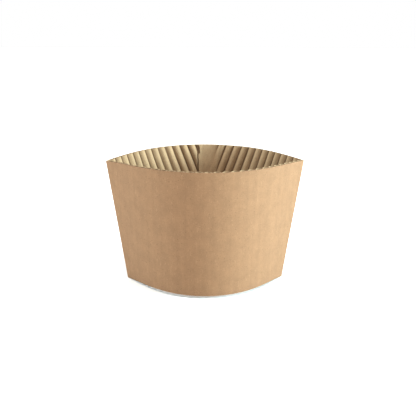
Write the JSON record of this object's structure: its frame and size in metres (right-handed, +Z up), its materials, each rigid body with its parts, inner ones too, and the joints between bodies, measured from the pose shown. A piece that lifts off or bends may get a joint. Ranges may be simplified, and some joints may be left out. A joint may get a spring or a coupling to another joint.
{
  "type": "coffee cup sleeve",
  "caption": "Opened single-face corrugated paper sleeve for a tapered hot takeaway cup, with two side folds and a glued back seam.",
  "frame": {"origin": "on the table under the middle of the opened sleeve", "axes": "+Z up, towards the wide mouth; -Y towards the front panel, +Y towards the glued back seam; +X towards the right fold as seen from the front"},
  "size_m": [0.1012, 0.0734, 0.0654],
  "materials": {
    "liner_paper": "matt brown kraft liner paper",
    "medium_paper": "matt brown fluted paper"
  },
  "bodies": {
    "root": {"outer_liner": "liner_paper", "fluted_lining": "medium_paper"}
  },
  "joints": []
}
